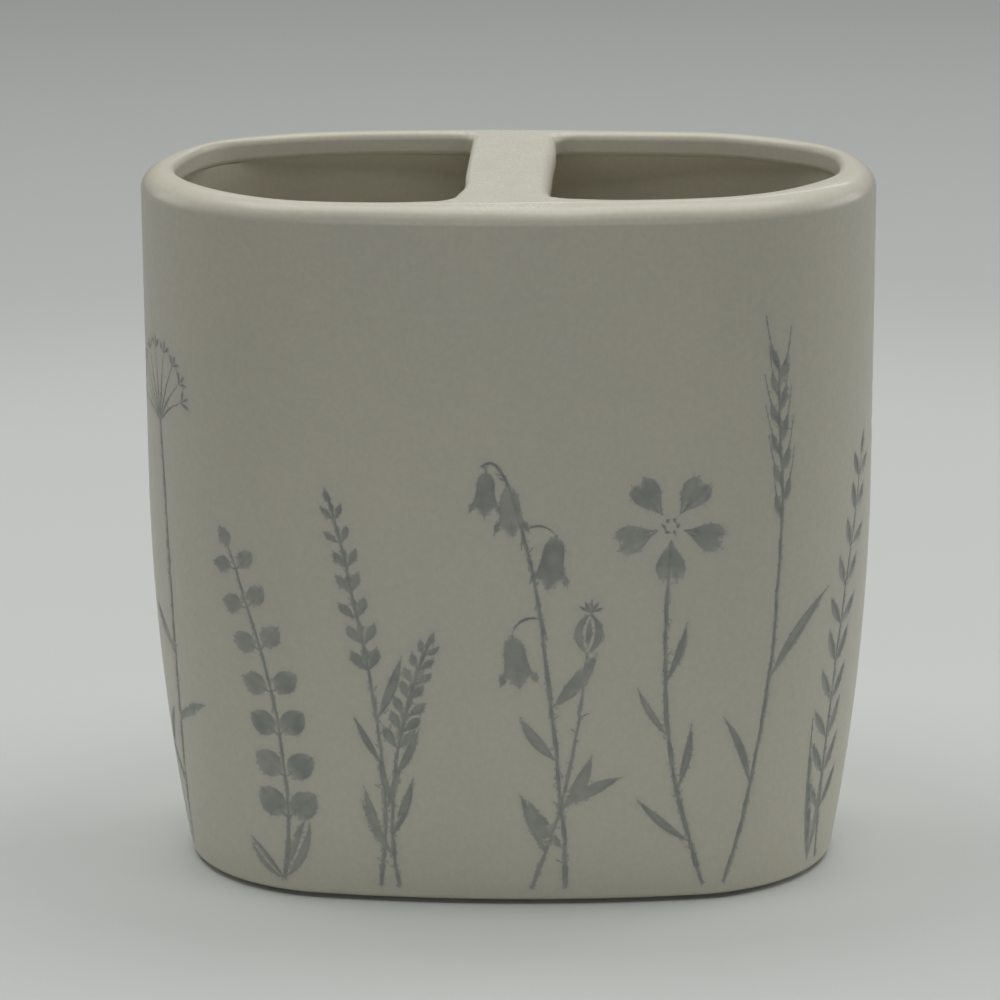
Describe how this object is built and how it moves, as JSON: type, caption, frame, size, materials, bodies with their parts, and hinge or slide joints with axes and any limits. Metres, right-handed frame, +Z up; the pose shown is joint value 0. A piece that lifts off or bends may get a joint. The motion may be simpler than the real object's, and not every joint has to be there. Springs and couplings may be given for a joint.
{
  "type": "toothbrush holder",
  "caption": "Oval glazed ceramic toothbrush holder with a flush crossbar between its openings, a tapered foot and anti-slip pads.",
  "frame": {"origin": "on the table plane, under the centre of the oval plan", "axes": "+Z up, +X along the long side of the oval, front towards -Y"},
  "size_m": [0.108, 0.064, 0.1055],
  "materials": {
    "body_glaze": "satin cream glaze over stoneware",
    "line_glaze": "blue-grey wash pooled in shallow debossed lines",
    "bisque": "unglazed fired clay on the foot ring and underside",
    "pad_rubber": "frosted soft elastomer"
  },
  "bodies": {
    "root": {"vessel_wall": "body_glaze", "vessel_floor": "body_glaze", "top_rim": "body_glaze", "crossbar": "body_glaze", "pad_front_left": "pad_rubber", "pad_front_right": "pad_rubber", "pad_rear_left": "pad_rubber", "pad_rear_right": "pad_rubber"}
  },
  "joints": []
}
